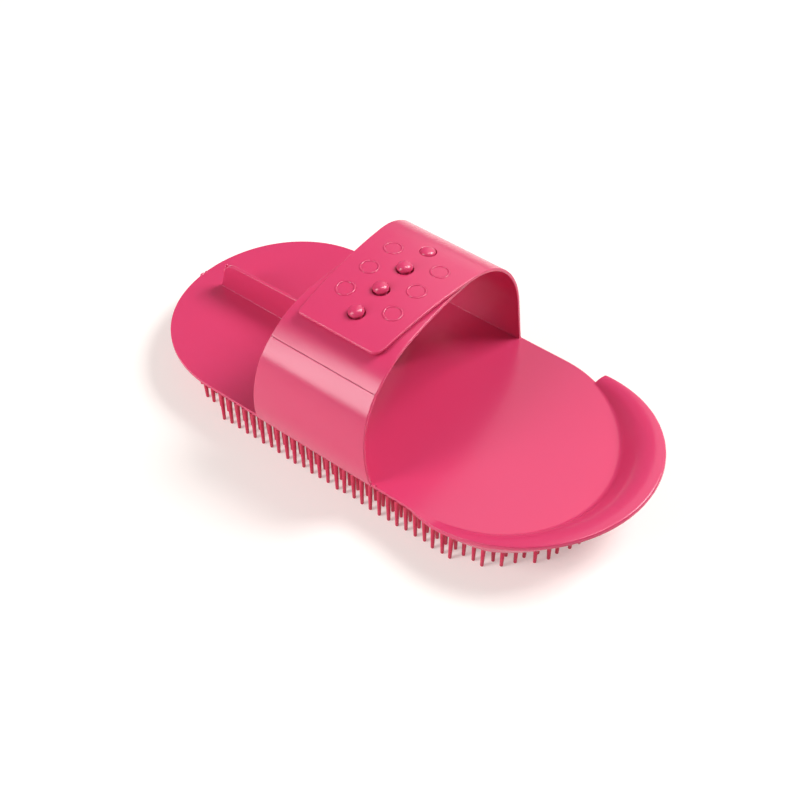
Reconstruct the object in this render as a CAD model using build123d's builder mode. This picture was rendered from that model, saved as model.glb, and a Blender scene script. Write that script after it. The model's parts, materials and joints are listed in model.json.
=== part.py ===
"""A one-piece moulded plastic curry comb: an oval base plate with a field of short teeth below it,
a raised lip at the front, an upright rib, and a two-part hand strap that buttons over four studs.

Frame: millimetres, +Z up, origin on the table under the middle of the part's outline.
+X runs along the plate towards the lip, +Y towards the strap half that carries the holes.
"""

from build123d import *
import os
from math import asin, atan2, cos, degrees, hypot, radians, sin, sqrt

os.makedirs("parts", exist_ok=True)

# ---- driving dimensions -------------------------------------------------------------------------
# base plate: a stadium outline, bowed up along both long sides; x is from the plate's own centre
PLATE_LENGTH = 190.0
PLATE_WIDTH = 92.0
PLATE_THICK = 1.5
RIM_HEIGHT = 15.8  # top face above the table, along the long sides
PLATE_BOW = 2.6  # how far the top face dips on the centre line

# lip: its top edge is an ellipse that lies in a plane climbing towards the front
LIP_REACH = 111.0
LIP_EDGE_CENTRE = 60.0
LIP_EDGE_HALF_WIDTH = 48.0
LIP_CUT_ANGLE = 71.0  # the far end is cut off square
LIP_FADE_ANGLE = -93.0  # the near end has faded into the plate's side
LIP_CUT_HEIGHT = 1.6  # above the rim
LIP_TIP_HEIGHT = 9.5
LIP_EDGE_THICK = 1.4
LIP_SHELF = 6.0  # how far the level underside runs on below the lip
LIP_SHELF_SHARE = 0.8  # and at most this share of the lip's overhang
LIP_STATIONS = 12
LIP_ROOT_OVERRUN = 1.0  # into the plate, before the plate's outline is cut away from the lip

# teeth, in rows along the plate
TOOTH_PITCH = 3.93
ROW_STAGGER = -1.25  # every second row is shifted by this much along the plate
ROW_COUNT = 23
ROW_INSET = 0.95  # outermost row, in from the plate's edge
FIELD_HALF_WIDTH = 46.2
FIELD_REAR_CENTRE = -37.0
FIELD_REAR_RADIUS = 44.0
FIELD_FRONT_CENTRE = 54.0
FIELD_FRONT_RADIUS = 43.0
TOOTH_ROOT_RADIUS = 0.95
TOOTH_TIP_RADIUS = 0.6
STRIP_WIDTH = 1.9
STRIP_THICK = 0.4

# rib
RIB_THICK = 1.4
RIB_REAR = -84.5
RIB_FRONT = -5.0
RIB_REAR_HEIGHT = 13.2  # above the plate's middle
RIB_FRONT_HEIGHT = 16.0
RIB_END_ROUND = 7.0

# strap: heights are above the rim, on the middle of the strap's thickness
STRAP_X = 2.2
STRAP_THICK = 1.3
HINGE_GAP = 0.3
NEAR_ROOT_WIDTH = 53.0
NEAR_CREASE_WIDTH = 46.4
TONGUE_END_WIDTH = 38.0
TONGUE_CORNER = 4.0
NEAR_BULGE = (-47.3, 10.0)
NEAR_WALL_TOP = (-45.7, 24.0)
NEAR_CREASE = (-38.2, 36.0)
TONGUE_START = -18.0
TONGUE_END = 26.5
TONGUE_GAP = 0.35  # between the tongue and the flap that lies over it
FAR_ROOT_WIDTH = 52.5
FAR_SHOULDER_WIDTH = 43.6
FLAP_END_WIDTH = 35.0
FAR_WALL_LEAN = 5.0
FAR_SHOULDER_RADIUS = 28.5
FLEX_Y = 27.0  # the flap's flex line crosses the shoulder here
FLAP_RADIUS = 170.0
FLAP_CREST = 47.2
FLAP_END = -30.3
FLAP_REAR_CORNER = 1.0
FLAP_FRONT_CORNER = 3.2

# studs on the tongue and their holes in the flap
STUD_PITCH = 13.4
STUD_FIRST = -19.8
STUD_COUNT = 4
STUD_STEM_RADIUS = 2.1
STUD_STEM_HEIGHT = 1.8
STUD_HEAD_RADIUS = 3.1
STUD_HEAD_HEIGHT = 2.1
LAST_STUD_STEM_HEIGHT = 0.8
LAST_STUD_HEAD_HEIGHT = 1.9
HOLE_RADIUS = 3.55

# ---- places worked out from them ----------------------------------------------------------------
END_RADIUS = PLATE_WIDTH / 2
END_CENTRE = PLATE_LENGTH / 2 - END_RADIUS
PLATE_X = (PLATE_LENGTH / 2 - LIP_REACH) / 2  # plate's centre in the part's frame
BOW_RADIUS = (END_RADIUS**2 + PLATE_BOW**2) / (2 * PLATE_BOW)
BOW_CENTRE_Z = RIM_HEIGHT - PLATE_BOW + BOW_RADIUS
UNDER_RADIUS = BOW_RADIUS + PLATE_THICK
HALF_THICK = STRAP_THICK / 2
HINGE = (END_RADIUS + HINGE_GAP + HALF_THICK, -PLATE_THICK / 2)
JOINT_CUT = 2 * HALF_THICK + HINGE_GAP  # from a flex line back to the neighbour's rounded end
TONGUE_RADIUS = FLAP_RADIUS - STRAP_THICK - TONGUE_GAP
ARC_CENTRE_HEIGHT = FLAP_CREST - FLAP_RADIUS
WIDE = 2 * PLATE_WIDTH  # a prism larger than the part


def plate_top(y):
    """Height of the plate's top face above the table."""
    return BOW_CENTRE_Z - sqrt(BOW_RADIUS**2 - y**2)


def plate_under(y):
    """Height of the plate's underside above the table."""
    return BOW_CENTRE_Z - sqrt(UNDER_RADIUS**2 - y**2)


def export(builder, label):
    """Label a finished piece and write it under that name."""
    builder.part.label = label
    export_step(builder.part, f"parts/{label}.step")


# ---- base plate ---------------------------------------------------------------------------------
bow_plane = Plane(origin=(PLATE_X, 0, BOW_CENTRE_Z), x_dir=(0, 1, 0), z_dir=(1, 0, 0))

with BuildPart() as base_plate:
    with BuildSketch():
        with Locations((PLATE_X, 0)):
            SlotOverall(PLATE_LENGTH, PLATE_WIDTH)
    extrude(amount=RIM_HEIGHT + PLATE_THICK)
    with BuildSketch(bow_plane):
        Circle(UNDER_RADIUS)
        Circle(BOW_RADIUS, mode=Mode.SUBTRACT)
    extrude(amount=PLATE_LENGTH, both=True, mode=Mode.INTERSECT)
export(base_plate, "base_plate")


# ---- front lip ----------------------------------------------------------------------------------
def lip_edge_radius(angle):
    """Reach of the lip's top edge from the centre of the plate's round end."""
    half_length = LIP_REACH - LIP_EDGE_CENTRE
    shift = LIP_EDGE_CENTRE - END_CENTRE
    a = (cos(angle) / half_length) ** 2 + (sin(angle) / LIP_EDGE_HALF_WIDTH) ** 2
    b = cos(angle) * shift / half_length**2
    c = (shift / half_length) ** 2 - 1
    return (b + sqrt(b**2 - a * c)) / a


def lip_edge_height(angle):
    """Height of the lip's top edge above the table."""
    reach = END_CENTRE + lip_edge_radius(angle) * cos(angle)
    cut = radians(LIP_CUT_ANGLE)
    cut_reach = END_CENTRE + lip_edge_radius(cut) * cos(cut)
    climb = (LIP_TIP_HEIGHT - LIP_CUT_HEIGHT) / (LIP_REACH - cut_reach)
    return RIM_HEIGHT + max(LIP_CUT_HEIGHT + climb * (reach - cut_reach), 0.0)


def lip_shelf_radius(angle):
    """How far the level underside reaches from the centre of the plate's round end."""
    return END_RADIUS + min(LIP_SHELF, LIP_SHELF_SHARE * (lip_edge_radius(angle) - END_RADIUS))


def lip_section(angle):
    """The lip's section in the upright plane at this angle round the plate's end."""
    edge_radius = lip_edge_radius(angle)
    edge_height = lip_edge_height(angle)
    root_radius = END_RADIUS - LIP_ROOT_OVERRUN
    shelf_radius = lip_shelf_radius(angle)
    points = [
        (root_radius, plate_top(root_radius * sin(angle))),
        (END_RADIUS, plate_top(END_RADIUS * sin(angle))),
        (edge_radius, edge_height),
        (edge_radius, edge_height - LIP_EDGE_THICK),
        (shelf_radius, plate_under(shelf_radius * sin(angle))),
        (root_radius, plate_under(root_radius * sin(angle))),
    ]
    plane = Plane(
        origin=(PLATE_X + END_CENTRE, 0, 0),
        x_dir=(cos(angle), sin(angle), 0),
        z_dir=(sin(angle), -cos(angle), 0),
    )
    with BuildSketch(plane) as section:
        with BuildLine():
            Polyline(*points, close=True)
        make_face()
    return section.sketch


with BuildPart() as front_lip:
    lip_span = radians(LIP_CUT_ANGLE - LIP_FADE_ANGLE)
    lip_angles = [
        radians(LIP_FADE_ANGLE) + lip_span * step / LIP_STATIONS
        for step in range(LIP_STATIONS + 1)
    ]
    loft([lip_section(angle) for angle in lip_angles])
    with BuildSketch():
        with Locations((PLATE_X, 0)):
            SlotOverall(PLATE_LENGTH, PLATE_WIDTH)
    extrude(amount=2 * RIM_HEIGHT, mode=Mode.SUBTRACT)
export(front_lip, "front_lip")


# ---- hand rib -----------------------------------------------------------------------------------
with BuildPart() as hand_rib:
    rib_plane = Plane(
        origin=(PLATE_X, RIB_THICK / 2, plate_top(RIB_THICK / 2)), x_dir=(1, 0, 0), z_dir=(0, -1, 0)
    )
    with BuildSketch(rib_plane) as rib_side:
        with BuildLine():
            Polyline(
                (RIB_REAR, 0),
                (RIB_FRONT, 0),
                (RIB_FRONT, RIB_FRONT_HEIGHT),
                (RIB_REAR, RIB_REAR_HEIGHT),
                close=True,
            )
        make_face()
        for end in (0, -1):
            top_corner = rib_side.vertices().group_by(Axis.X)[end].sort_by(Axis.Y)[-1]
            fillet(top_corner, RIB_END_ROUND)
    extrude(amount=RIB_THICK)
export(hand_rib, "hand_rib")


# ---- teeth --------------------------------------------------------------------------------------
def field_reach(centre, radius, y):
    """Signed reach of the tooth field along the plate, at this distance from the centre line."""
    side = 1 if centre > 0 else -1
    return centre + side * radius * sqrt(1 - (y / FIELD_HALF_WIDTH) ** 2)


def root_fits(x, y):
    """Whether a tooth's root lies under the plate or the lip, x from the plate's centre."""
    if x <= END_CENTRE:
        return True
    angle = atan2(y, x - END_CENTRE)
    under_lip = radians(LIP_FADE_ANGLE) < angle < radians(LIP_CUT_ANGLE)
    limit = lip_shelf_radius(angle) if under_lip else END_RADIUS
    return hypot(x - END_CENTRE, y) + TOOTH_ROOT_RADIUS <= limit


def tooth_row(index):
    """One row of upright teeth on its root strip, which follows the bowed underside."""
    y = (index - (ROW_COUNT - 1) / 2) * (PLATE_WIDTH - 2 * ROW_INSET) / (ROW_COUNT - 1)
    tilt = asin(y / UNDER_RADIUS)
    rear = field_reach(FIELD_REAR_CENTRE, FIELD_REAR_RADIUS, y)
    front = field_reach(FIELD_FRONT_CENTRE, FIELD_FRONT_RADIUS, y)
    shift = ROW_STAGGER * (index % 2)
    first = int((rear - shift) / TOOTH_PITCH)
    last = int((front - shift) / TOOTH_PITCH)
    places = [step * TOOTH_PITCH + shift for step in range(first, last + 1)]
    places = [place for place in places if root_fits(place, y)]
    length = plate_under(y) - STRIP_THICK / 2
    strip_length = places[-1] - places[0] + STRIP_WIDTH
    plane = Plane(
        origin=(PLATE_X, y, plate_under(y)), x_dir=(1, 0, 0), z_dir=(0, sin(tilt), -cos(tilt))
    )
    with BuildPart() as row:
        with BuildSketch(plane):
            with Locations(((places[0] + places[-1]) / 2, 0)):
                Rectangle(strip_length, STRIP_WIDTH)
        extrude(amount=STRIP_THICK)
        with Locations(*[(PLATE_X + place, y, 0) for place in places]):
            Cone(
                TOOTH_TIP_RADIUS,
                TOOTH_ROOT_RADIUS,
                length,
                align=(Align.CENTER, Align.CENTER, Align.MIN),
            )
    return row


for index in range(ROW_COUNT):
    export(tooth_row(index), f"tooth_row_{index + 1:02d}")


# ---- strap --------------------------------------------------------------------------------------
def strap_plane():
    """Sketch plane of the strap's side profile: x across the plate, y upwards from its rim."""
    return Plane(origin=(PLATE_X + STRAP_X, 0, RIM_HEIGHT), x_dir=(0, 1, 0), z_dir=(1, 0, 0))


def short_of(edge, cut):
    """The edge without its last stretch of this length."""
    return edge.trim(0, 1 - cut / edge.length)


def taper(plane, start, start_width, end, end_width, rear_corner=0.0, front_corner=0.0):
    """A tapering outline along the sketch plane's y axis, with the corners at its end rounded."""
    with BuildSketch(plane) as outline:
        with BuildLine():
            Polyline(
                (-start_width / 2, start),
                (start_width / 2, start),
                (end_width / 2, end),
                (-end_width / 2, end),
                close=True,
            )
        make_face()
        far_corners = outline.vertices().sort_by(lambda corner: abs(corner.Y - end))[:2]
        rear, front = far_corners.sort_by(Axis.X)
        if rear_corner:
            fillet(rear, rear_corner)
        if front_corner:
            fillet(front, front_corner)
    return outline.sketch


side_view = Plane(origin=(PLATE_X + STRAP_X, 0, RIM_HEIGHT), x_dir=(1, 0, 0), z_dir=(0, -1, 0))
top_view = Plane(origin=(PLATE_X + STRAP_X, 0, 0), x_dir=(1, 0, 0), z_dir=(0, 0, 1))
strap_margin = 2 * STRAP_THICK  # lets a taper run past a rounded end


def wider(start, start_width, end, end_width, at):
    """Width of a taper carried on to another place along it."""
    return start_width + (end_width - start_width) * (at - start) / (end - start)


# near half: a wall that bulges out a little, then curls over to its crease
near_hinge = (-HINGE[0], HINGE[1])
with BuildPart() as near_wall:
    with BuildSketch(strap_plane()):
        with BuildLine():
            wall_curve = ThreePointArc(near_hinge, NEAR_BULGE, NEAR_WALL_TOP)
            curl = TangentArc(
                NEAR_WALL_TOP, NEAR_CREASE, tangent=wall_curve % 1, mode=Mode.PRIVATE
            )
            add(short_of(curl, JOINT_CUT))
            offset(amount=HALF_THICK)
        make_face()
    extrude(amount=NEAR_ROOT_WIDTH, both=True)
    low, high = near_hinge[1] - strap_margin, NEAR_CREASE[1] + strap_margin
    taper_ends = (near_hinge[1], NEAR_ROOT_WIDTH, NEAR_CREASE[1], NEAR_CREASE_WIDTH)
    outline = taper(side_view, low, wider(*taper_ends, low), high, wider(*taper_ends, high))
    extrude(outline, amount=WIDE, both=True, mode=Mode.INTERSECT)
export(near_wall, "near_wall")


def arc_height(radius, y):
    """Height above the rim of the arcs that the flap and the tongue follow."""
    return ARC_CENTRE_HEIGHT + sqrt(radius**2 - y**2)


def tongue_tangent(y):
    """Direction along the tongue's arc at y, pointing back towards the near wall."""
    slope = asin(y / TONGUE_RADIUS)
    return (-cos(slope), sin(slope))


# the shoulder: an arc that meets the leaning far wall and the flap's arc smoothly
lean = radians(FAR_WALL_LEAN)
wall_up = (-sin(lean), cos(lean))
wall_in = (-cos(lean), -sin(lean))
to_arc = (
    HINGE[0] + FAR_SHOULDER_RADIUS * wall_in[0],
    HINGE[1] + FAR_SHOULDER_RADIUS * wall_in[1] - ARC_CENTRE_HEIGHT,
)
along = to_arc[0] * wall_up[0] + to_arc[1] * wall_up[1]
reach_squared = (FLAP_RADIUS - FAR_SHOULDER_RADIUS) ** 2
wall_run = -along + sqrt(along**2 - to_arc[0] ** 2 - to_arc[1] ** 2 + reach_squared)
shoulder_start = (HINGE[0] + wall_run * wall_up[0], HINGE[1] + wall_run * wall_up[1])
shoulder_centre = (
    shoulder_start[0] + FAR_SHOULDER_RADIUS * wall_in[0],
    shoulder_start[1] + FAR_SHOULDER_RADIUS * wall_in[1],
)
crest_slope = asin(shoulder_centre[0] / (FLAP_RADIUS - FAR_SHOULDER_RADIUS))
flex_slope = asin((FLEX_Y - shoulder_centre[0]) / FAR_SHOULDER_RADIUS)
shoulder_turn = 90 - FAR_WALL_LEAN - degrees(flex_slope + JOINT_CUT / FAR_SHOULDER_RADIUS)


def on_shoulder(radius, slope):
    """Point of an arc about the shoulder's centre where the strap slopes by this much."""
    return (shoulder_centre[0] + radius * sin(slope), shoulder_centre[1] + radius * cos(slope))


FLEX = on_shoulder(FAR_SHOULDER_RADIUS, flex_slope)


# tongue: from the crease up to the arcs that follow the underside of the flap
with BuildPart() as tongue:
    with BuildSketch(strap_plane()):
        with BuildLine():
            start = (TONGUE_START, arc_height(TONGUE_RADIUS, TONGUE_START))
            crest = (0, arc_height(TONGUE_RADIUS, 0))
            inner_radius = FAR_SHOULDER_RADIUS - STRAP_THICK - TONGUE_GAP
            end_slope = asin((TONGUE_END - shoulder_centre[0]) / inner_radius)
            bend = on_shoulder(inner_radius, crest_slope)
            middle = on_shoulder(inner_radius, (crest_slope + end_slope) / 2)
            TangentArc(start, NEAR_CREASE, tangent=tongue_tangent(TONGUE_START))
            ThreePointArc(start, crest, bend)
            ThreePointArc(bend, middle, on_shoulder(inner_radius, end_slope))
            offset(amount=HALF_THICK)
        make_face()
    extrude(amount=NEAR_ROOT_WIDTH, both=True)
    low, high = NEAR_CREASE[0] - strap_margin, TONGUE_END + HALF_THICK
    taper_ends = (NEAR_CREASE[0], NEAR_CREASE_WIDTH, TONGUE_END, TONGUE_END_WIDTH)
    corners = (TONGUE_CORNER, TONGUE_CORNER)
    outline = taper(top_view, low, wider(*taper_ends, low), high, TONGUE_END_WIDTH, *corners)
    extrude(outline, amount=WIDE, both=True, mode=Mode.INTERSECT)
export(tongue, "tongue")


# far half: the wall and the start of the shoulder
with BuildPart() as far_wall:
    with BuildSketch(strap_plane()):
        with BuildLine():
            Line(HINGE, shoulder_start)
            JernArc(shoulder_start, wall_up, FAR_SHOULDER_RADIUS, shoulder_turn)
            offset(amount=HALF_THICK)
        make_face()
    extrude(amount=FAR_ROOT_WIDTH, both=True)
    low, high = HINGE[1] - strap_margin, FLEX[1] + strap_margin
    taper_ends = (HINGE[1], FAR_ROOT_WIDTH, FLEX[1], FAR_SHOULDER_WIDTH)
    outline = taper(side_view, low, wider(*taper_ends, low), high, wider(*taper_ends, high))
    extrude(outline, amount=WIDE, both=True, mode=Mode.INTERSECT)
export(far_wall, "far_wall")


def stud_place(index, radius):
    """Plane on an arc of this radius at a stud, square to the arc."""
    slope = asin((STUD_FIRST + index * STUD_PITCH) / FLAP_RADIUS)
    height = RIM_HEIGHT + ARC_CENTRE_HEIGHT + radius * cos(slope)
    return Plane(
        origin=(PLATE_X + STRAP_X, radius * sin(slope), height),
        x_dir=(1, 0, 0),
        z_dir=(0, sin(slope), cos(slope)),
    )


with BuildPart() as flap:
    with BuildSketch(strap_plane()):
        with BuildLine():
            bend = on_shoulder(FAR_SHOULDER_RADIUS, crest_slope)
            middle = on_shoulder(FAR_SHOULDER_RADIUS, (crest_slope + flex_slope) / 2)
            ThreePointArc(FLEX, middle, bend)
            ThreePointArc(bend, (0, FLAP_CREST), (FLAP_END, arc_height(FLAP_RADIUS, FLAP_END)))
            offset(amount=HALF_THICK)
        make_face()
    extrude(amount=FAR_ROOT_WIDTH, both=True)
    low, high = FLEX[0] + strap_margin, FLAP_END - HALF_THICK
    taper_ends = (FLEX[0], FAR_SHOULDER_WIDTH, FLAP_END, FLAP_END_WIDTH)
    corners = (FLAP_REAR_CORNER, FLAP_FRONT_CORNER)
    outline = taper(top_view, low, wider(*taper_ends, low), high, FLAP_END_WIDTH, *corners)
    extrude(outline, amount=WIDE, both=True, mode=Mode.INTERSECT)
    for index in range(STUD_COUNT):
        with BuildSketch(stud_place(index, FLAP_RADIUS)):
            Circle(HOLE_RADIUS)
        extrude(amount=2 * STRAP_THICK, both=True, mode=Mode.SUBTRACT)
export(flap, "flap")


# ---- studs --------------------------------------------------------------------------------------
def stud(index):
    """A short stem with a domed head, standing on the tongue."""
    last = index == STUD_COUNT - 1
    stem_height = LAST_STUD_STEM_HEIGHT if last else STUD_STEM_HEIGHT
    head_height = LAST_STUD_HEAD_HEIGHT if last else STUD_HEAD_HEIGHT
    place = stud_place(index, TONGUE_RADIUS + HALF_THICK)
    profile = Plane(origin=place.origin, x_dir=place.x_dir, z_dir=-place.y_dir)
    top = stem_height + head_height
    with BuildPart() as piece:
        with BuildSketch(profile):
            with BuildLine():
                Polyline(
                    (0, top),
                    (0, 0),
                    (STUD_STEM_RADIUS, 0),
                    (STUD_STEM_RADIUS, stem_height),
                    (STUD_HEAD_RADIUS, stem_height),
                )
                TangentArc((0, top), (STUD_HEAD_RADIUS, stem_height), tangent=(1, 0))
            make_face()
        revolve(axis=Axis(place.origin, place.z_dir))
    return piece


for index in range(STUD_COUNT):
    export(stud(index), f"stud_{index + 1}")
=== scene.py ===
"""Looks of a one-piece moulded plastic curry comb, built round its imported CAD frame.

Lengths are in millimetres, in the CAD frame, and become metres where a mesh is made.
A strap half is a sheet wrapped on its side profile: `across` is the distance across the
strap's width and `along` the distance along the profile from the half's hinge.
"""

import json
import random
from math import acos, asin, atan2, ceil, cos, exp, hypot, pi, radians, sin, sqrt

import bmesh
import bpy
from mathutils import Matrix, Vector
from mathutils.geometry import delaunay_2d_cdt


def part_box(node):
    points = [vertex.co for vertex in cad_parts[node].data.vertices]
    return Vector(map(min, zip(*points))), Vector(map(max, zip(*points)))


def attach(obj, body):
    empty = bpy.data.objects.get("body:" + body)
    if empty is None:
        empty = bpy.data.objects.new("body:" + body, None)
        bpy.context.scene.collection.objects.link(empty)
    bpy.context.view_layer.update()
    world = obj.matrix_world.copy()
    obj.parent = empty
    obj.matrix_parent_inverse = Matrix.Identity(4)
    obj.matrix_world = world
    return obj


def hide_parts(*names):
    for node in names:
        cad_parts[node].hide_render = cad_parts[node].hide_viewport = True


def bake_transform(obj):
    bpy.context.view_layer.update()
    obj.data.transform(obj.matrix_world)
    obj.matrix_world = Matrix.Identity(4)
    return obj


MM = 0.001
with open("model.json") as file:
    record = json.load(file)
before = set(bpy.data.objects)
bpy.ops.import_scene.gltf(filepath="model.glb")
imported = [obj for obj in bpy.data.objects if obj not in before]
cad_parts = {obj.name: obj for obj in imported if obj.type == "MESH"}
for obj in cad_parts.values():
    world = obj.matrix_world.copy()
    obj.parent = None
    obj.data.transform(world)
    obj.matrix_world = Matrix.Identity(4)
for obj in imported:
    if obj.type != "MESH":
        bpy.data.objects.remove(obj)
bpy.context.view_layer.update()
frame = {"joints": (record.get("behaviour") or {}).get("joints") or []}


def box_mm(node):
    """Lowest and highest corner of a CAD node, in millimetres."""
    low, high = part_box(node)
    return low / MM, high / MM


def joint_mm(name):
    """Where a hinge line crosses the strap's side profile: (y, z) in millimetres."""
    joint = next(joint for joint in frame["joints"] if joint["name"] == name)
    return joint["pos_m"][1] / MM, joint["pos_m"][2] / MM


# ---- base plate: a stadium outline, bowed up along its long sides ----
plate_low, plate_high = box_mm("base_plate")
PLATE_THICK = 1.5
PLATE_X = (plate_low.x + plate_high.x) / 2
END_RADIUS = (plate_high.y - plate_low.y) / 2
END_CENTRE = (plate_high.x - plate_low.x) / 2 - END_RADIUS
RIM_HEIGHT = plate_high.z
PLATE_BOW = RIM_HEIGHT - PLATE_THICK - plate_low.z
BOW_RADIUS = (END_RADIUS**2 + PLATE_BOW**2) / (2 * PLATE_BOW)
BOW_CENTRE_Z = RIM_HEIGHT - PLATE_BOW + BOW_RADIUS
UNDER_RADIUS = BOW_RADIUS + PLATE_THICK
EDGE_EASE = 0.22  # how far the rim's rounding reaches along each face
UNDER_EASE = 0.4  # the same where the rim's outer face meets the underside
RIM_UNDERCUT = 2.0  # how far in from the rim its outer face ends below
TOP_REACH = 4.0  # the top face leads into the rim from this far inside it
UNDER_REACH = 5.0  # the same for the underside
PLATE_RINGS = 17  # rings of mesh points inside the rim
PLATE_RING_STEP = 2.5
TURN_STEP = 2  # degrees between sections round the plate's ends

# ---- front lip: its top edge is an ellipse that climbs towards the front ----
_, lip_high = box_mm("front_lip")
LIP_REACH = lip_high.x - PLATE_X
LIP_TIP_HEIGHT = lip_high.z - RIM_HEIGHT
LIP_EDGE_CENTRE = 60.0
LIP_EDGE_HALF_WIDTH = 48.0
LIP_CUT_ANGLE = radians(71)
LIP_CUT_HEIGHT = 1.6
LIP_CUT_STEPS = (1.4, 0.75, 0.4, 0.18, 0.05, 0.0)  # sections this many degrees short of the cut
LIP_CUT_ROUND = 0.5  # rounding of the cut end, from the second of them on
LIP_EDGE_THICK = 1.4
LIP_EDGE_INSET = 0.3
LIP_EDGE_EASE = 1.1  # the rim's rounding on the inner corner of the full lip
LIP_FACE_STEPS = 12
LIP_OUTER_STEPS = 5
LIP_SHELF = 6.0
LIP_SHELF_SHARE = 0.8
LIP_BASE_INSET = 0.8
LIP_BASE_EASE = 1.3
LIP_ROLL = 2.6  # 1 is a straight inner face; more rolls its upper part over, outwards
LIP_FULL = 3.0  # overhang at which the lip has its full section
LIP_UNDER_EASE = 4.0  # more easing below the full lip

# ---- hand rib ----
rib_low, rib_high = box_mm("hand_rib")
RIB_REAR_HEIGHT = 13.2
RIB_END_ROUND = 7.0
RIB_EDGE_ROUND = 0.5
RIB_FOOT_FILLET = 0.3
RIB_REAR_LEAN = 1.8  # how far forward the top of its rear edge leans
RIB_SINK = 0.3  # how far it reaches into the plate

# ---- teeth ----
TOOTH_PITCH = 3.93
ROW_STAGGER = -1.25  # every second row is shifted by this much along the plate
ROW_COUNT = 23
ROW_INSET = 0.95
FIELD_HALF_WIDTH = 46.2
FIELD_REAR_CENTRE = -37.0
FIELD_REAR_RADIUS = 44.0
FIELD_FRONT_CENTRE = 54.0
FIELD_FRONT_RADIUS = 43.0
TOOTH_ROOT_RADIUS = 0.95
TOOTH_TIP_RADIUS = 0.62
TOOTH_FILLET = 0.25
TOOTH_LEAN = 0.8  # degrees, the spread of the lean left by the mould
TOOTH_SIDES = 10

# ---- strap ----
near_low, near_high = box_mm("near_wall")
STRAP_X = (near_low.x + near_high.x) / 2
STRAP_THICK = 1.3
STRAP_EDGE_ROUND = 0.32
NEAR_ROOT_WIDTH = 53.0
NEAR_CREASE_WIDTH = 46.4
TONGUE_END_WIDTH = 38.0
TONGUE_CORNER = 4.0
NEAR_BULGE = (-47.3, RIM_HEIGHT + 10.0)
NEAR_WALL_TOP = (-45.7, RIM_HEIGHT + 24.0)
TONGUE_START = -18.0
TONGUE_END = 26.5
TONGUE_GAP = 0.35
FAR_ROOT_WIDTH = 52.5
FAR_SHOULDER_WIDTH = 43.6
FLAP_END_WIDTH = 35.0
FAR_SHOULDER_RADIUS = 28.5
FLAP_RADIUS = 170.0
FLAP_CREST = RIM_HEIGHT + 47.2
FLAP_END = -30.3
FLAP_REAR_CORNER = 1.0
FLAP_FRONT_CORNER = 3.2
ROOT_TUCK = 1.3  # how far inside its hinge line a wall springs from the plate
ROOT_FILLET = 0.15
ROOT_CORNER = 0.5
ROOT_LIFT = 0.25  # the bottom of a wall stops this far above the plate's underside
WEB_SINK = 0.4  # how far the fillet at a wall's foot reaches into the plate
WEB_LAP = 0.2  # how far it reaches into the wall
WEB_END_INSET = 0.4  # and how far short of the wall's side edges it stops
SKIN_SINK = 0.02  # added skins start this far inside the surface below, so no gap shows
SPLIT_HEIGHT = RIM_HEIGHT + 18.0  # where a wall's two meshes meet
CREASE_DEPTH = 0.12
CREASE_WIDTH = 0.14

# ---- mesh points of the strap's sheets ----
CREASE_ROWS = (-4, -2, -1, -0.5, 0, 0.5, 1, 2, 4)  # rows at the crease, in crease widths
CREASE_CLEAR = 5  # the even rows stay this many crease widths away
MESH_STEP = 1.6  # spacing along a sheet's ends, and along the plate's sides
SIDE_STEP = 1.1  # the same along a sheet's sides
ROW_STEP = 1.25  # spacing of the rows inside a sheet
COLUMN_STEP = 1.9  # spacing of the points of a row
CREASE_COLUMN_STEP = 1.0  # and of a row of the crease
LATTICE_REACH = 30.0  # half the width of the rows, more than a sheet's
EDGE_CLEARANCE_SQUARED = 0.55
HOLE_CLEARANCE = 1.0
SEARCH_MARGIN = 5.0  # how far past a sheet's end a search along it may look

# ---- studs, holes and ejector marks ----
STUD_PITCH = 13.4
STUD_FIRST = -19.8
STUD_COUNT = 4
STUD_STEM_RADIUS = 2.1
STUD_STEM_HEIGHT = 1.9
STUD_HEAD_RADIUS = 2.95
STUD_HEAD_HEIGHT = 2.3
LAST_STUD_STEM_HEIGHT = 0.8
LAST_STUD_HEAD_HEIGHT = 1.9
STUD_SIDES = 40
STUD_DOME_STEPS = 8
STUD_HEAD_RIM = 0.3  # height of the head's rim, below its dome
HOLE_RADIUS = 3.06
HOLE_SHIFT = 0.1  # the studs sit against the rear side of their holes
MARK_OFFSET = 10.4
MARK_ROWS = (-13.0, 0.3, 13.7)
MARK_RADIUS = 3.25
MARK_WIDTH = 0.45
MARK_HEIGHT = 0.32
MARK_STEPS = 48
MARK_SECTION_STEPS = 10


# ---- small helpers ----
def link_mesh(name, mesh):
    """Make an object of a mesh and put it in the scene."""
    piece = bpy.data.objects.new(name, mesh)
    bpy.context.scene.collection.objects.link(piece)
    return piece


def finish_bmesh(name, builder, sharp_angle=radians(35)):
    """Turn a bmesh in millimetres into a smooth-shaded object, sharp only at real corners."""
    bmesh.ops.scale(builder, vec=(MM, MM, MM), verts=builder.verts)
    for face in builder.faces:
        face.smooth = True
    for edge in builder.edges:
        if len(edge.link_faces) == 2:
            edge.smooth = edge.calc_face_angle(0) < sharp_angle
    mesh = bpy.data.meshes.new(name)
    builder.to_mesh(mesh)
    builder.free()
    return link_mesh(name, mesh)


def join_loops(builder, loops, closed=True, ring=False):
    """Faces between each loop of vertices and the next, and last to first if it is a ring."""
    pairs = zip(loops, loops[1:] + loops[:1]) if ring else zip(loops, loops[1:])
    for here, following in pairs:
        for index in range(len(here) if closed else len(here) - 1):
            after = (index + 1) % len(here)
            builder.faces.new((here[index], here[after], following[after], following[index]))


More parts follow.
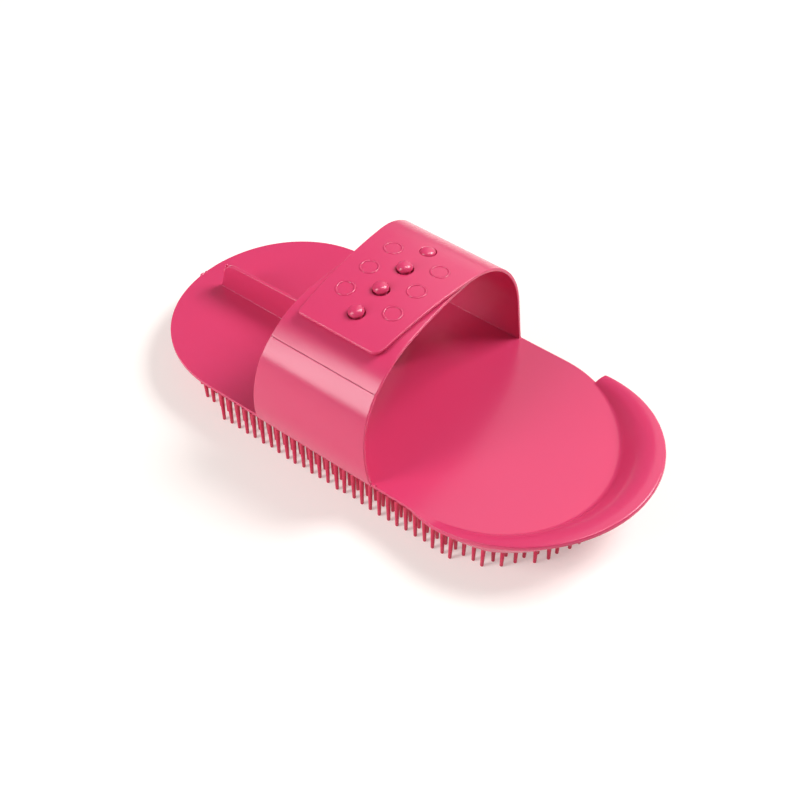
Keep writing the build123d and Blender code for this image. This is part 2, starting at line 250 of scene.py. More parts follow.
def add_post(builder, rings, tip, sides, place):
    """A round post: (radius, height) rings and a pointed tip, put in place by a matrix."""
    loops = []
    for radius, height in rings:
        loop = []
        for side in range(sides):
            turn = 2 * pi * side / sides
            point = Vector((radius * cos(turn), radius * sin(turn), height))
            loop.append(builder.verts.new(place @ point))
        loops.append(loop)
    join_loops(builder, loops)
    point = builder.verts.new(place @ Vector((0, 0, tip)))
    for side in range(sides):
        builder.faces.new((loops[-1][side], loops[-1][(side + 1) % sides], point))


def mix(a, b, share):
    """Point or number this share of the way from a to b."""
    if isinstance(a, tuple):
        return tuple(p + (q - p) * share for p, q in zip(a, b))
    return a + (b - a) * share


def smooth_step(value):
    """0 below 0, 1 above 1, and an S curve between."""
    value = min(max(value, 0.0), 1.0)
    return value * value * (3 - 2 * value)


def eased_corner(before, corner, after, ease, steps):
    """Points of a smooth turn at a corner, from this far before it to this far after it."""
    ends = []
    for other in (before, after):
        away = hypot(other[0] - corner[0], other[1] - corner[1])
        limit = 0.48 * away  # short of half way, so that two turns in a row don't meet
        ends.append(mix(corner, other, min(ease, limit) / max(away, 1e-6)))
    start, end = ends
    points = []
    for step in range(steps + 1):
        share = step / steps
        points.append(mix(mix(start, corner, share), mix(corner, end, share), share))
    return points


def plate_top(y):
    """Height of the plate's top face."""
    return BOW_CENTRE_Z - sqrt(BOW_RADIUS**2 - y**2)


def plate_under(y):
    """Height of the plate's underside."""
    return BOW_CENTRE_Z - sqrt(UNDER_RADIUS**2 - y**2)


# ---- base plate and lip ----
def lip_edge_radius(spine_x, angle):
    """Reach of the lip's edge ellipse from a point on the plate's centre line."""
    half_length = LIP_REACH - LIP_EDGE_CENTRE
    shift = LIP_EDGE_CENTRE - spine_x
    a = (cos(angle) / half_length) ** 2 + (sin(angle) / LIP_EDGE_HALF_WIDTH) ** 2
    b = cos(angle) * shift / half_length**2
    c = (shift / half_length) ** 2 - 1
    under_root = b**2 - a * c
    return (b + sqrt(under_root)) / a if under_root > 0 else 0.0


def lip_edge_height(reach):
    """Height of the lip's edge this far along the plate."""
    cut_reach = END_CENTRE + lip_edge_radius(END_CENTRE, LIP_CUT_ANGLE) * cos(LIP_CUT_ANGLE)
    climb = (LIP_TIP_HEIGHT - LIP_CUT_HEIGHT) / (LIP_REACH - cut_reach)
    return RIM_HEIGHT + max(LIP_CUT_HEIGHT + climb * (reach - cut_reach), 0.0)


def shelf_radius(overhang):
    """How far the level underside reaches from the centre line below a lip's overhang."""
    return END_RADIUS + min(LIP_SHELF, LIP_SHELF_SHARE * overhang)


def rim_edge(spine_x, angle, has_lip, cut_ease):
    """Radius and height of the rim's top corner: the lip's edge where there is a lip."""
    lip_edge = lip_edge_radius(spine_x, angle)
    if has_lip and lip_edge > END_RADIUS:
        height = lip_edge_height(spine_x + lip_edge * cos(angle))
        return lip_edge - cut_ease, height - cut_ease
    return END_RADIUS, plate_top(END_RADIUS * sin(angle))


def rolled_face(foot, edge, roll):
    """Points up the lip's inner face, between its foot and its edge."""
    points = []
    for step in range(1, LIP_FACE_STEPS):
        share = step / LIP_FACE_STEPS
        rise = 1 - (1 - share) ** roll
        points.append((mix(foot[0], edge[0], share), mix(foot[1], edge[1], rise)))
    return points


def rim_section(spine_x, angle, has_lip, cut_ease):
    """Section of the plate's rim, top to underside, as (radius, height) from the centre line."""
    slant = sin(angle)
    edge, height = rim_edge(spine_x, angle, has_lip, cut_ease)
    overhang = edge - END_RADIUS
    fullness = smooth_step(overhang / LIP_FULL)
    base = END_RADIUS - LIP_BASE_INSET
    shelf = shelf_radius(overhang) - RIM_UNDERCUT * (1 - fullness)
    before = (base - TOP_REACH, plate_top((base - TOP_REACH) * slant))
    inner_foot = (base, plate_top(base * slant))
    inner_edge = (edge - LIP_EDGE_INSET * fullness, height)
    outer_edge = (edge, height - mix(PLATE_THICK, LIP_EDGE_THICK, fullness))
    outer_foot = (shelf, plate_under(shelf * slant))
    after = (shelf - UNDER_REACH, plate_under((shelf - UNDER_REACH) * slant))
    face = rolled_face(inner_foot, inner_edge, mix(1.0, LIP_ROLL, fullness))
    outside = [
        mix(outer_edge, outer_foot, step / LIP_OUTER_STEPS) for step in range(1, LIP_OUTER_STEPS)
    ]
    edge_ease = mix(EDGE_EASE, LIP_EDGE_EASE, fullness)
    under_ease = LIP_UNDER_EASE * fullness + UNDER_EASE
    return [
        *eased_corner(before, inner_foot, face[0], LIP_BASE_EASE, 4),
        *face,
        *eased_corner(face[-1], inner_edge, outer_edge, edge_ease, 6),
        *eased_corner(inner_edge, outer_edge, outside[0], EDGE_EASE, 4),
        *outside,
        *eased_corner(outside[-1], outer_foot, after, under_ease, 4),
    ]


def rim_stations():
    """Stations round the outline: place on the centre line, direction, has lip, cut ease."""
    front = [(END_CENTRE, radians(angle), True, 0.0) for angle in range(-90, 70, TURN_STEP)]
    cut = []
    for short in LIP_CUT_STEPS:
        turn = max(1 - short / LIP_CUT_STEPS[1], 0.0)
        ease = LIP_CUT_ROUND * (1 - sqrt(1 - turn**2))
        cut.append((END_CENTRE, LIP_CUT_ANGLE - radians(short), True, ease))
    past_cut = [LIP_CUT_ANGLE, *(radians(angle) for angle in range(72, 90, TURN_STEP))]
    plain = [(END_CENTRE, angle, False, 0.0) for angle in past_cut]
    steps = ceil(2 * END_CENTRE / MESH_STEP)
    side = [END_CENTRE - 2 * END_CENTRE * step / steps for step in range(steps)]
    far_side = [(x, pi / 2, False, 0.0) for x in side]
    rear = [(-END_CENTRE, radians(angle), False, 0.0) for angle in range(90, 270, TURN_STEP)]
    near_side = [(x - 2 * END_CENTRE / steps, -pi / 2, True, 0.0) for x in reversed(side)]
    return front + cut + plain + far_side + rear + near_side


def plate_shell():
    """The bowed plate, its rounded rim and the lip, as one skin."""
    inner_rings = [PLATE_RING_STEP * step for step in range(PLATE_RINGS)]
    builder = bmesh.new()
    loops = []
    for spine_x, angle, has_lip, cut_ease in rim_stations():
        slant = sin(angle)
        top = [(radius, plate_top(radius * slant)) for radius in inner_rings]
        section = rim_section(spine_x, angle, has_lip, cut_ease)
        under = [(radius, plate_under(radius * slant)) for radius in reversed(inner_rings)]
        loop = []
        for radius, height in top + section + under:
            x = PLATE_X + spine_x + radius * cos(angle)
            loop.append(builder.verts.new((x, radius * slant, height)))
        loops.append(loop)
    join_loops(builder, loops, closed=False, ring=True)
    bmesh.ops.remove_doubles(builder, verts=builder.verts, dist=0.002)
    bmesh.ops.recalc_face_normals(builder, faces=builder.faces)
    return finish_bmesh("plate_shell", builder)


def blob(builder, centre, size, seed):
    """A small lump of plastic, such as a gate or flash mark leaves."""
    source = random.Random(seed)
    made = bmesh.ops.create_icosphere(builder, subdivisions=3, radius=1.0)
    for vert in made["verts"]:
        wave = 0.12 * sin(3 * vert.co.x + seed) * cos(4 * vert.co.y)
        swell = 1 + wave + source.uniform(-0.02, 0.02)
        vert.co = Vector([c + d * s * swell for c, d, s in zip(centre, vert.co, size)])


def gate_marks():
    """What the mould leaves: a gate stub at the plate's rear, a burr by the near strap root."""
    builder = bmesh.new()
    rear = PLATE_X - END_CENTRE - END_RADIUS
    top = plate_top(0)
    blob(builder, (rear - 0.1, -0.6, top - 0.5), (0.7, 1.5, 0.75), 3)
    blob(builder, (rear + 0.2, 1.3, top - 0.25), (0.5, 0.6, 0.55), 5)
    blob(builder, (STRAP_X + 28.4, -END_RADIUS + 0.1, RIM_HEIGHT + 0.3), (0.3, 0.35, 0.9), 8)
    return finish_bmesh("gate_marks", builder)


# ---- hand rib ----
def rib_outline():
    """Side outline of the rib as (x, z), from its rear foot round to its front foot."""
    floor = plate_top(0) - RIB_SINK
    rear_top = plate_top(0) + RIB_REAR_HEIGHT
    slope = (rib_high.z - rear_top) / (rib_high.x - rib_low.x)
    steps = 10
    outline = [(rib_low.x, floor)]
    for step in range(steps + 1):
        turn = pi / 2 * step / steps
        x = rib_low.x + RIB_REAR_LEAN + RIB_END_ROUND * (1 - cos(turn))
        z = rear_top + slope * RIB_END_ROUND - RIB_END_ROUND * (1 - sin(turn))
        outline.append((x, z))
    return outline + [(rib_high.x, rib_high.z), (rib_high.x, floor)]


def hand_rib():
    """The upright rib, its edges rounded, with a fillet along its foot and a nub at its rear."""
    half = (rib_high.y - rib_low.y) / 2
    builder = bmesh.new()
    near, far = (
        [builder.verts.new((x, y, z)) for x, z in rib_outline()] for y in (-half, half)
    )
    builder.faces.new(near)
    builder.faces.new(far[::-1])
    join_loops(builder, [far, near])
    bmesh.ops.recalc_face_normals(builder, faces=builder.faces)
    rim = [edge for edge in builder.edges if abs(edge.verts[0].co.y - edge.verts[1].co.y) < 1e-6]
    bmesh.ops.bevel(
        builder, geom=rim, offset=RIB_EDGE_ROUND, segments=4, profile=0.5, affect="EDGES"
    )
    rib_foot_fillet(builder, half)
    nub = (rib_low.x + RIB_REAR_LEAN + 1.6, 0.1, plate_top(0) + RIB_REAR_HEIGHT - 2.2)
    blob(builder, nub, (0.45, 0.6, 1.2), 11)
    piece = finish_bmesh("hand_rib_skin", builder, radians(50))
    weighted = piece.modifiers.new("even faces", "WEIGHTED_NORMAL")
    weighted.keep_sharp = True
    return piece


def rib_foot_fillet(builder, half):
    """A hollow fillet where the rib stands on the plate, swept round its foot."""
    low, high = rib_low.x, rib_high.x
    ground = plate_top(0)
    corners = [(low, -half), (high, -half), (high, half), (low, half)]
    outward = [(-1, -1), (1, -1), (1, 1), (-1, 1)]
    steps = 6
    lap = 0.05  # how far the fillet reaches into the rib
    loops = []
    for (x, y), (out_x, out_y) in zip(corners, outward):
        loop = []
        for step in range(steps + 1):
            turn = pi / 2 * step / steps
            spread = RIB_FOOT_FILLET * (1 - sin(turn)) - lap
            rise = RIB_FOOT_FILLET * (1 - cos(turn)) - SKIN_SINK
            loop.append(builder.verts.new((x + out_x * spread, y + out_y * spread, ground + rise)))
        loops.append(loop)
    join_loops(builder, loops[::-1], closed=False, ring=True)


# ---- teeth ----
def field_reach(centre, radius, y):
    """Signed reach of the tooth field along the plate, at this distance from the centre line."""
    side = 1 if centre > 0 else -1
    return centre + side * radius * sqrt(1 - (y / FIELD_HALF_WIDTH) ** 2)


def root_fits(x, y):
    """Whether a tooth's root lies under the plate or the lip, x from the plate's centre."""
    if x <= END_CENTRE:
        return True
    angle = atan2(y, x - END_CENTRE)
    overhang = lip_edge_radius(END_CENTRE, angle) - END_RADIUS
    limit = shelf_radius(overhang) if angle < LIP_CUT_ANGLE else END_RADIUS
    return hypot(x - END_CENTRE, y) + TOOTH_ROOT_RADIUS <= limit


def add_tooth(builder, root, direction, length):
    """One tapered tooth with a flared root and a rounded tip."""
    turn = Vector((0, 0, 1)).rotation_difference(direction).to_matrix().to_4x4()
    rings = [
        (TOOTH_ROOT_RADIUS + TOOTH_FILLET, -0.25),
        (TOOTH_ROOT_RADIUS + TOOTH_FILLET * 0.45, 0.08),
        (TOOTH_ROOT_RADIUS + 0.03, TOOTH_FILLET),
        (mix(TOOTH_ROOT_RADIUS, TOOTH_TIP_RADIUS, 0.5), length * 0.5),
        (TOOTH_TIP_RADIUS + 0.02, length - TOOTH_TIP_RADIUS * 0.6),
        (TOOTH_TIP_RADIUS * 0.72, length - TOOTH_TIP_RADIUS * 0.18),
    ]
    add_post(builder, rings, length, TOOTH_SIDES, Matrix.Translation(root) @ turn)


def tooth_row(index):
    """One row of teeth, upright but for each tooth's own slight lean."""
    y = (index - (ROW_COUNT - 1) / 2) * 2 * (END_RADIUS - ROW_INSET) / (ROW_COUNT - 1)
    shift = ROW_STAGGER * (index % 2)
    first = int((field_reach(FIELD_REAR_CENTRE, FIELD_REAR_RADIUS, y) - shift) / TOOTH_PITCH)
    last = int((field_reach(FIELD_FRONT_CENTRE, FIELD_FRONT_RADIUS, y) - shift) / TOOTH_PITCH)
    places = [step * TOOTH_PITCH + shift for step in range(first, last + 1)]
    source = random.Random(index)
    builder = bmesh.new()
    for x in places:
        lean_x = radians(source.gauss(0, TOOTH_LEAN))
        lean_y = radians(source.gauss(0, TOOTH_LEAN))
        direction = Vector((sin(lean_x), sin(lean_y), -cos(lean_x) * cos(lean_y))).normalized()
        if root_fits(x, y):
            root = Vector((PLATE_X + x, y, plate_under(y)))
            add_tooth(builder, root, direction, plate_under(y))
    return finish_bmesh(f"tooth_row_{index + 1:02d}_skin", builder)


# ---- strap profiles ----
def follow(profile, distance):
    """Point and heading at a distance along a profile of straight and round pieces."""
    y, z = profile["start"]
    heading = profile["heading"]
    for number, (length, curvature) in enumerate(profile["pieces"]):
        last = number == len(profile["pieces"]) - 1
        run = distance if last else min(distance, length)
        if distance < 0 or abs(curvature) < 1e-9:
            y += run * cos(heading)
            z += run * sin(heading)
        else:
            turned = heading + run * curvature
            y += (sin(turned) - sin(heading)) / curvature
            z += (cos(heading) - cos(turned)) / curvature
            heading = turned
        distance -= run
        if distance <= 0:
            break
    return (y, z), heading


def arc_to(start, heading, end):
    """Length and curvature of the arc that leaves start along a heading and ends at end."""
    chord = hypot(end[0] - start[0], end[1] - start[1])
    turn = atan2(end[1] - start[1], end[0] - start[0]) - heading
    return chord * turn / sin(turn), 2 * sin(turn) / chord


def heading_through(start, middle, end):
    """Heading at start of the arc through three points."""
    chord = atan2(end[1] - start[1], end[0] - start[0])
    first = atan2(middle[1] - start[1], middle[0] - start[0])
    second = atan2(end[1] - middle[1], end[0] - middle[0])
    return chord - (second - first)


def shoulder_arc():
    """Centre of the far shoulder's arc, and the strap's slope where it starts and at the flex."""
    flex = joint_mm("flap_peel")
    middle_z = FLAP_CREST - FLAP_RADIUS
    away, gap = hypot(flex[0], flex[1] - middle_z), FLAP_RADIUS - FAR_SHOULDER_RADIUS
    spread = acos((gap**2 + away**2 - FAR_SHOULDER_RADIUS**2) / (2 * gap * away))
    crest_slope = atan2(flex[0], flex[1] - middle_z) - spread
    centre = (gap * sin(crest_slope), middle_z + gap * cos(crest_slope))
    return centre, crest_slope, asin((flex[0] - centre[0]) / FAR_SHOULDER_RADIUS)


def near_profile():
    """Side profile of the near half: wall, curl, crease, then the tongue under the flap."""
    hinge = joint_mm("near_root_swing")
    start = (hinge[0] + ROOT_TUCK, hinge[1])
    crease = joint_mm("near_crease_bend")
    tongue_radius = FLAP_RADIUS - STRAP_THICK - TONGUE_GAP
    heading = heading_through(start, NEAR_BULGE, NEAR_WALL_TOP)
    wall = arc_to(start, heading, NEAR_WALL_TOP)
    wall_end = heading + wall[0] * wall[1]
    curl = arc_to(NEAR_WALL_TOP, wall_end, crease)
    crease_heading = wall_end + curl[0] * curl[1]
    arc_start = (TONGUE_START, FLAP_CREST - FLAP_RADIUS + sqrt(tongue_radius**2 - TONGUE_START**2))
    rise = arc_to(crease, crease_heading, arc_start)
    centre, crest_slope, _ = shoulder_arc()
    top = (tongue_radius * (crest_slope - asin(TONGUE_START / tongue_radius)), -1 / tongue_radius)
    end_radius = FAR_SHOULDER_RADIUS - STRAP_THICK - TONGUE_GAP
    end_slope = asin((TONGUE_END - centre[0]) / end_radius)
    end = (end_radius * (end_slope - crest_slope), -1 / end_radius)
    return {
        "start": start,
        "heading": heading,
        "pieces": [wall, curl, rise, top, end],
        "outward": 1,
        "bend": wall[0] + curl[0],
        "length": wall[0] + curl[0] + rise[0] + top[0] + end[0],
        "joints": ("near_root_swing", "near_crease_bend"),
        "widths": (NEAR_ROOT_WIDTH, NEAR_CREASE_WIDTH, TONGUE_END_WIDTH),
        "end_y": TONGUE_END,
    }


def far_profile():
    """Side profile of the far half: wall, broad shoulder, then the flap with the holes."""
    hinge = joint_mm("far_root_swing")
    start = (hinge[0] - ROOT_TUCK, hinge[1])
    centre, crest_slope, flex_slope = shoulder_arc()
    away = hypot(centre[0] - start[0], centre[1] - start[1])
    toward = atan2(centre[1] - start[1], centre[0] - start[0])
    heading = toward - asin(FAR_SHOULDER_RADIUS / away)
    wall = sqrt(away**2 - FAR_SHOULDER_RADIUS**2)
    shoulder = FAR_SHOULDER_RADIUS * (pi - crest_slope - heading)
    flap = FLAP_RADIUS * (crest_slope - asin(FLAP_END / FLAP_RADIUS))
    return {
        "start": start,
        "heading": heading,
        "pieces": [(wall, 0.0), (shoulder, 1 / FAR_SHOULDER_RADIUS), (flap, 1 / FLAP_RADIUS)],
        "outward": -1,
        "bend": wall + FAR_SHOULDER_RADIUS * (pi - flex_slope - heading),
        "length": wall + shoulder + flap,
        "joints": ("far_root_swing", "flap_peel"),
        "widths": (FAR_ROOT_WIDTH, FAR_SHOULDER_WIDTH, FLAP_END_WIDTH),
        "end_y": FLAP_END,
    }


def search(low, high, falls_short):
    """The place between low and high where falls_short turns from true to false."""
    for _ in range(40):
        middle = (low + high) / 2
        if falls_short(middle):
            low = middle
        else:
            high = middle
    return low


def along_at_height(profile, height):
    """Distance along a wall at which it reaches a height."""
    high = height - profile["start"][1] + SEARCH_MARGIN
    return search(0.0, high, lambda along: follow(profile, along)[0][1] < height)


def along_at_y(profile, y):
    """Distance along the far half, past its shoulder, at which it reaches y."""
    low, high = profile["bend"] - SEARCH_MARGIN, profile["length"] + SEARCH_MARGIN
    return search(low, high, lambda along: follow(profile, along)[0][0] > y)


def half_width(profile, along):
    """Half the strap's width at a distance along one of its halves."""
    (y, z), _ = follow(profile, along)
    (_, root_z), (bend_y, bend_z) = (joint_mm(joint) for joint in profile["joints"])
    root, bend, end = profile["widths"]
    if along <= profile["bend"]:
        return mix(root, bend, (z - root_z) / (bend_z - root_z)) / 2
    return mix(bend, end, (y - bend_y) / (profile["end_y"] - bend_y)) / 2


# ---- strap sheets ----
def side_run(profile, start, end):
    """(half width, along) down one side edge, close enough to bend smoothly."""
    steps = max(ceil(abs(end - start) / SIDE_STEP), 2)
    places = [mix(start, end, step / steps) for step in range(steps + 1)]
    return [(half_width(profile, place), place) for place in places]


def corner_run(side, half, end, radius, growing):
    """Points of a rounded corner; side is -1 for the rear edge and 1 for the front one."""
    steps = 7
    points = []
    for step in range(steps + 1):
        turn = pi / 2 * step / steps
        across = side * (half - radius * (1 - cos(turn)))
        points.append((across, end - growing * radius * (1 - sin(turn))))
    return points


def end_chain(profile, start, end, rear_corner, front_corner):
    """Outline of a sheet from the front end of its open edge, round its far end, to the rear."""
    growing = 1 if end > start else -1
    half = half_width(profile, end)
    front = side_run(profile, start, end - growing * front_corner)[:-1]
    rear = side_run(profile, end - growing * rear_corner, start)[1:]
    front_turn = corner_run(1, half, end, front_corner, growing)
    rear_turn = corner_run(-1, half, end, rear_corner, growing)[::-1]
    steps = ceil(2 * half / MESH_STEP)
    from_front, to_rear = half - front_corner, rear_corner - half
    across = [(mix(from_front, to_rear, step / steps), end) for step in range(1, steps)]
    return front + front_turn + across + rear_turn + [(-half, along) for half, along in rear]


def outward_normals(chain, closed):
    """Unit vectors square to a chain of points, away from the side on its left."""
    normals = []
    count = len(chain)
    for index in range(count):
        before = chain[index - 1] if closed or index else chain[index]
        after = chain[(index + 1) % count] if closed or index < count - 1 else chain[index]
        run = (after[0] - before[0], after[1] - before[1])
        length = hypot(*run)
        normals.append((run[1] / length, -run[0] / length))
    return normals


def inside(point, polygon):
    """Whether a point lies inside a closed polygon."""
    x, y = point
    result = False
    for (x1, y1), (x2, y2) in zip(polygon, polygon[1:] + polygon[:1]):
        if (y1 > y) != (y2 > y) and x < (x2 - x1) * (y - y1) / (y2 - y1) + x1:
            result = not result
    return result


def lattice_rows(polygon, crease):
    """Places along a sheet of its rows of inner points, and the spacing of each row's points."""
    low = min(along for _, along in polygon)
    high = max(along for _, along in polygon)
    rows = [low + ROW_STEP * step for step in range(1, int((high - low) / ROW_STEP))]
    if crease is None:
        return [(row, COLUMN_STEP) for row in rows]
    clear = CREASE_CLEAR * CREASE_WIDTH
    even = [(row, COLUMN_STEP) for row in rows if abs(row - crease) > clear]
    return even + [(crease + CREASE_WIDTH * step, CREASE_COLUMN_STEP) for step in CREASE_ROWS]


def lattice(polygon, holes, crease):
    """Inner points of a sheet, in rows across it, clear of its edges and holes."""
    keep_off = HOLE_RADIUS + HOLE_CLEARANCE
    points = []
    for row, spacing in lattice_rows(polygon, crease):
        steps = int(LATTICE_REACH / spacing)
        for step in range(-steps, steps + 1):
            point = (step * spacing, row)
            if not inside(point, polygon):
                continue
            nearest = min((point[0] - x) ** 2 + (point[1] - s) ** 2 for x, s in polygon)
            if nearest < EDGE_CLEARANCE_SQUARED:
                continue
            if all(hypot(point[0] - x, point[1] - s) >= keep_off for x, s in holes):
                points.append(point)
    return points


def hole_chain(centre):
    """A hole's outline, with the sheet on its left."""
    sides = 40
    turns = [-2 * pi * side / sides for side in range(sides)]
    return [
        (centre[0] + HOLE_RADIUS * cos(turn), centre[1] + HOLE_RADIUS * sin(turn))
        for turn in turns
    ]


def edge_rings():
    """The rounded edge of a sheet: (inset, height off the middle, outward part, upward part)."""
    steps = 4
    rings = []
    for step in range(steps + 1):
        turn = pi / 2 * step / steps
        inset = STRAP_EDGE_ROUND * (1 - sin(turn))
        height = STRAP_THICK / 2 - STRAP_EDGE_ROUND * (1 - cos(turn))
        rings.append((inset, height, sin(turn), cos(turn)))
    lower = [(inset, -height, out, -up) for inset, height, out, up in reversed(rings)]
    return rings + lower


def crease_relief(across, along, crease):
    """Depth and slope of the scored crease line at a point of the sheet."""
    if crease is None:
        return 0.0, 0.0
    step = (along - crease) / CREASE_WIDTH
    depth = CREASE_DEPTH * (0.8 + 0.2 * sin(across * 0.9) * sin(across * 0.37 + 1))
    dip = -depth * exp(-step * step)
    return dip, -2 * step / CREASE_WIDTH * dip


def flat_pattern(outlines, holes, crease):
    """Triangles of a sheet's flat face, and where each outline's points are among its points."""
    flat = [
        [(x - STRAP_EDGE_ROUND * nx, s - STRAP_EDGE_ROUND * ns) for (x, s), (nx, ns) in outline]
        for outline in outlines
    ]
    first, last = flat[0][0], flat[0][-1]
    gap_steps = ceil(hypot(first[0] - last[0], first[1] - last[1]) / MESH_STEP)
    opening = [mix(last, first, step / gap_steps) for step in range(1, gap_steps)]
    loops = [flat[0] + opening] + flat[1:]
    points, edges, starts = [], [], []
    for loop in loops:
        start, count = len(points), len(loop)
        starts.append(start)
        points += loop
        edges += [(start + index, start + (index + 1) % count) for index in range(count)]
    points += lattice(loops[0], holes, crease)
    flat_points, _, triangles, origins, _, _ = delaunay_2d_cdt(
        [Vector(point) for point in points], edges, [], 1, 1e-6
    )
    place = {source: index for index, group in enumerate(origins) for source in group}
    borders = [
        [place[start + index] for index in range(len(outline))]
        for outline, start in zip(flat, starts)
    ]
    clear = (HOLE_RADIUS + STRAP_EDGE_ROUND) * 0.99  # a hole's outline is a polygon
    kept = []
    for triangle in triangles:
        x = sum(flat_points[corner][0] for corner in triangle) / 3
        s = sum(flat_points[corner][1] for corner in triangle) / 3
        if all(hypot(x - hole[0], s - hole[1]) > clear for hole in holes):
            kept.append(triangle)
    return flat_points, kept, borders


def wrapped(profile, across, along, height):
    """A point of the flat pattern put on its profile, its heading, and the way off the sheet."""
    (y, z), heading = follow(profile, along)
    square = (-profile["outward"] * sin(heading), profile["outward"] * cos(heading))
    point = Vector((STRAP_X + across, y + square[0] * height, z + square[1] * height))
    return point, heading, square


class Skin:
    """Vertices of a strap sheet wrapped on its profile, with their normals and the crease's share
    of painted shade.
    """

    def __init__(self, profile):
        self.profile = profile
        self.positions = []
        self.normals = []
        self.marks = []

    def add(self, place, height, out, up, mark=0.0):
        """Wrap a point of the flat pattern; out is its normal in the sheet, up off the sheet, and
        the last value is its share of the crease's painted shade.
        """
        point, heading, square = wrapped(self.profile, *place, height)
        normal_y = out[1] * cos(heading) + up * square[0]
        normal_z = out[1] * sin(heading) + up * square[1]
        self.positions.append(point * MM)
        self.normals.append(Vector((out[0], normal_y, normal_z)).normalized())
        self.marks.append(mark)
        return len(self.positions) - 1


def edge_loops(skin, outline, upper, lower):
    """Loops of vertices round a sheet's rounded edge, from its upper face to its lower one."""
    loops = [upper]
    for inset, height, out, up in edge_rings()[1:-1]:
        loop = []
        for (x, s), (nx, ns) in outline:
            place = (x - inset * nx, s - inset * ns)
            loop.append(skin.add(place, height, (out * nx, out * ns), up))
        loops.append(loop)
    return loops + [lower]


def sheet(name, profile, chain, holes=(), crease=None):
    """A strap sheet: flat triangulated faces joined by rounded edges, wrapped on its profile."""
    outlines = [list(zip(chain, outward_normals(chain, closed=False)))]
    for hole in holes:
        ring = hole_chain(hole)
        outlines.append(list(zip(ring, outward_normals(ring, closed=True))))
    flat_points, triangles, borders = flat_pattern(outlines, holes, crease)
    skin = Skin(profile)
    for across, along in flat_points:
        dip, slope = crease_relief(across, along, crease)
        height = STRAP_THICK / 2 + dip
        # The last value is the crease's painted shade: 1 at the bottom of the crease line.
        skin.add((across, along), height, (0.0, -slope), 1.0, -dip / CREASE_DEPTH)
    for across, along in flat_points:
        skin.add((across, along), -STRAP_THICK / 2, (0.0, 0.0), -1.0)
    total = len(flat_points)
    faces = list(triangles)
    faces += [(total + c, total + b, total + a) for a, b, c in triangles]
    for number, (outline, upper) in enumerate(zip(outlines, borders)):
        loops = edge_loops(skin, outline, upper, [total + index for index in upper])
        count = len(upper)
        for higher, lower in zip(loops, loops[1:]):
            for index in range(count if number else count - 1):
                after = (index + 1) % count
                faces.append((lower[index], lower[after], higher[after], higher[index]))
    if profile["outward"] < 0:
        faces = [tuple(reversed(face)) for face in faces]
    mesh = bpy.data.meshes.new(name)
    mesh.from_pydata(skin.positions, [], faces)
    # The crease attribute carries the crease line's painted shade to the material.
    mesh.attributes.new("crease", "FLOAT", "POINT").data.foreach_set("value", skin.marks)
    mesh.polygons.foreach_set("use_smooth", [True] * len(mesh.polygons))
    mesh.normals_split_custom_set_from_vertices(skin.normals)
    return link_mesh(name, mesh)


def root_wall(body, profile, split):
    """A strap half's wall, from the plate up to the split."""
    bottom = plate_under(END_RADIUS) + ROOT_LIFT - profile["start"][1]
    chain = end_chain(profile, split, bottom, ROOT_CORNER, ROOT_CORNER)
    wall = sheet(f"{body}_skin", profile, [(-across, along) for across, along in chain])
    bend_at_root(wall)
    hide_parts(body)
    return wall


def near_half():
    """The near wall and the tongue: two sheets that meet half way up the wall."""
    profile = near_profile()
    split = along_at_height(profile, SPLIT_HEIGHT)
    wall = root_wall("near_wall", profile, split)
    chain = end_chain(profile, split, profile["length"], TONGUE_CORNER, TONGUE_CORNER)
    tongue = sheet("tongue_skin", profile, chain, crease=profile["bend"])
    bend_along(tongue, profile)
    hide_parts("tongue")
    return [wall, tongue]


def far_half():
    """The far wall and the flap: two sheets that meet half way up the wall."""
    profile = far_profile()
    split = along_at_height(profile, SPLIT_HEIGHT)
    wall = root_wall("far_wall", profile, split)
    studs = [STUD_FIRST + index * STUD_PITCH for index in range(STUD_COUNT)]
    holes = [(HOLE_SHIFT, along_at_y(profile, y)) for y in studs]
    chain = end_chain(profile, split, profile["length"], FLAP_REAR_CORNER, FLAP_FRONT_CORNER)
    flap = sheet("flap_skin", profile, chain, holes)
    bend_along(flap, profile)
    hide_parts("flap")
    return [wall, flap, ejector_marks(profile)]


def bend_at_root(piece):
    """Bake a wall's placement into its mesh."""
    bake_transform(piece)


def bend_along(piece, profile):
    """Bake a sheet's placement into its mesh; the point where its profile bends is found but not
    used.
    """
    (y, z), heading = follow(profile, profile["bend"])
    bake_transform(piece)


def add_mark(builder, profile, across, along):
    """A thin raised ring round a point of the flap."""
    loops = []
    for step in range(MARK_STEPS):
        turn = 2 * pi * step / MARK_STEPS
        loop = []
        for part in range(MARK_SECTION_STEPS):
            lean = 2 * pi * part / MARK_SECTION_STEPS
            radius = MARK_RADIUS + MARK_WIDTH * cos(lean)
            height = STRAP_THICK / 2 + MARK_HEIGHT * sin(lean) - SKIN_SINK / 2
            place = (across + radius * cos(turn), along + radius * sin(turn))
            loop.append(builder.verts.new(wrapped(profile, *place, height)[0]))
        loops.append(loop)
    join_loops(builder, loops, ring=True)


def ejector_marks(profile):
    """Thin raised rings on the flap, where the mould's ejector pins pressed."""
    builder = bmesh.new()
    for side in (-1, 1):
        for y in MARK_ROWS:
            add_mark(builder, profile, side * MARK_OFFSET, along_at_y(profile, y))
    bmesh.ops.recalc_face_normals(builder, faces=builder.faces)
    piece = finish_bmesh("ejector_marks", builder, radians(80))
    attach(piece, "flap")
    return piece


